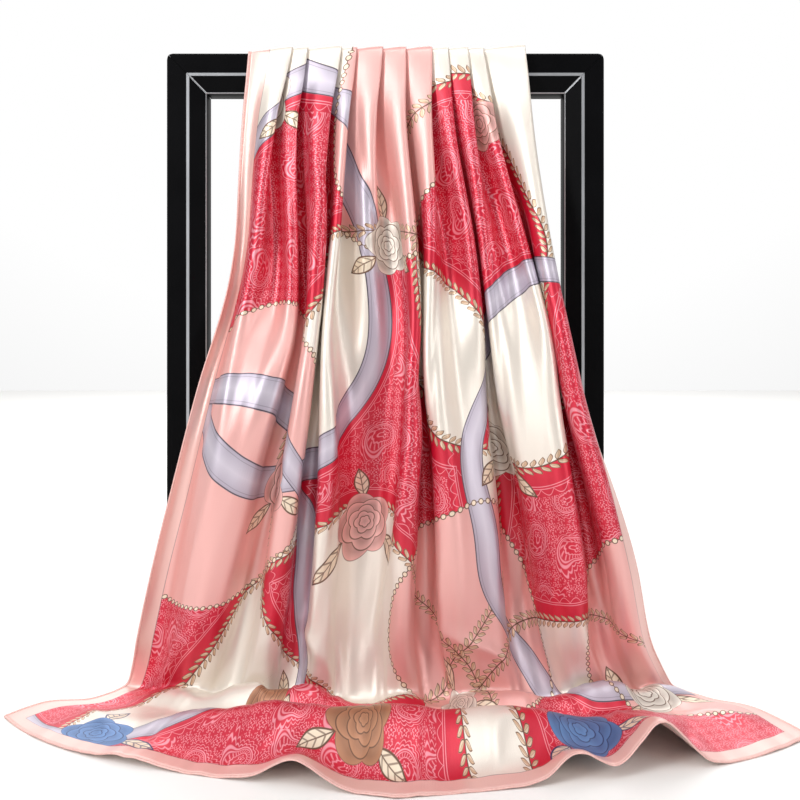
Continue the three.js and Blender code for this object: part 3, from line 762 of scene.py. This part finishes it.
# Stitches: mm from one to the next, mm that each slants, half its width, and the share of a
# turn that it reaches to each side
STITCH_PITCH, STITCH_SLANT, STITCH_HALF, STITCH_REACH = 7.0, 3, 0.25, 0.175
hem_silk, hem_shader, wire = new_material("hem_silk", metallic=0.2)
roll = wire.node("ShaderNodeUVMap", {"uv_map": "roll"}, {})
length, turn, _ = roll.parts()
beside = ((length / STITCH_PITCH).math("FRACT") - 0.5) * STITCH_PITCH
beside = beside + (turn - 0.5) * STITCH_SLANT
stitches = beside.within(STITCH_HALF, 0.2) * (turn - 0.5).within(STITCH_REACH, 0.05)
uneven = wire.node("ShaderNodeTexNoise", {}, {"Vector": roll, "Scale": 0.35, "Detail": 2.0})
hem_colour = uneven.mix(ink("e2a69e"), ink("f6d2ca"))
plug(stitches.mix(hem_colour, ink("fbeae4")), hem_shader, "Base Color")
plug(0.36 + 0.2 * uneven, hem_shader, "Roughness")
bump(uneven - 0.8 * stitches, 0.0003, 0.5, hem_shader)


def unit(vectors):
    """Each vector over its own length."""
    return vectors / np.linalg.norm(vectors, axis=-1, keepdims=True)


# The rows of the cloth's grid at each edge and just inside it
edge_rows = {
    "hem_back": (np.s_[0], np.s_[1]), "hem_front": (np.s_[-1], np.s_[-2]),
    "hem_left": (np.s_[:, 0], np.s_[:, 1]), "hem_right": (np.s_[:, -1], np.s_[:, -2]),
}
for name, (last_row, row_before) in edge_rows.items():
    edge = cloth_points[last_row]
    outward = unit(edge - cloth_points[row_before])
    hem = rolled_hem(name.replace("hem_", "rolled_hem_"), edge, outward, cloth_normals[last_row])
    hem.data.materials.append(hem_silk)
    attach(hem, "root")
    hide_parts(name)

# Floor, lights and camera
# A plain pale floor under a white surround, large soft lights, and the photo's
# level view from about a metre away.

FLOOR_REACH = 6.0
floor_corners = [(x * FLOOR_REACH, y * FLOOR_REACH, 0) for x, y in ((-1, -1), (1, -1), (1, 1), (-1, 1))]
floor_mesh = bpy.data.meshes.new("floor")
floor_mesh.from_pydata(floor_corners, [], [(0, 1, 2, 3)])
floor = bpy.data.objects.new("floor", floor_mesh)
bpy.context.collection.objects.link(floor)
pale, pale_shader, wire = new_material("pale_floor", roughness=0.6, base_color=ink("f7f6f4"))
floor.data.materials.append(pale)

# The surround is white behind the stand and above it, and dimmer on the camera's side, so that
# the folds keep their shading
world = bpy.data.worlds.new("studio_surround")
bpy.context.scene.world = world
world.use_nodes = True
surround = Wire(world.node_tree)
looking = surround.node("ShaderNodeTexCoord", {}, {}, "Generated")
_, backwards, upwards = looking.parts()
DIMMEST = 0.22
brightness = DIMMEST + (1 - DIMMEST) * (backwards * 0.8 + upwards * 0.55).over(0.35, 0.9)
world.node_tree.links.new(brightness.socket, world.node_tree.nodes["Background"].inputs["Strength"])
world.node_tree.nodes["Background"].inputs["Color"].default_value = (1, 1, 1, 1)


def strip_light(name, place, aim, width, height, power):
    """A tall soft box at a place, facing a point."""
    data = bpy.data.lights.new(name, "AREA")
    data.shape, data.size, data.size_y, data.energy = "RECTANGLE", width, height, power
    lamp = bpy.data.objects.new(name, data)
    lamp.location = place
    lamp.rotation_euler = (Vector(aim) - Vector(place)).to_track_quat("-Z", "Y").to_euler()
    bpy.context.collection.objects.link(lamp)


strip_light("left_softbox", (-1.35, -1.5, 1.25), (0, 0, 0.3), 0.4, 1.5, 22)
strip_light("right_softbox", (1.5, -1.5, 0.9), (0, 0, 0.35), 0.35, 1.4, 9)
strip_light("top_softbox", (0.1, -0.8, 1.7), (0, -0.05, 0.5), 1.2, 0.7, 8)
strip_light("floor_softbox", (0, 3.4, 3.0), (0, 3.6, 0), 5.0, 4.0, 120)

PIXELS = 800
FOCAL_PIXELS = 987
HORIZON_ROW = 340
CAMERA_DISTANCE, CAMERA_ASIDE, CAMERA_HEIGHT = 1.015, 0.015, 0.36
SENSOR_WIDTH = 36
camera_data = bpy.data.cameras.new("camera")
camera_data.sensor_width = SENSOR_WIDTH
camera_data.lens = SENSOR_WIDTH * FOCAL_PIXELS / PIXELS
camera_data.shift_y = (HORIZON_ROW - PIXELS / 2) / PIXELS
camera = bpy.data.objects.new("camera", camera_data)
camera.location = (CAMERA_ASIDE, FRONT_FACE - CAMERA_DISTANCE, CAMERA_HEIGHT)
camera.rotation_euler = (math.radians(90), 0, 0)
bpy.context.collection.objects.link(camera)
bpy.context.scene.camera = camera

bpy.context.scene.view_settings.view_transform = "Standard"
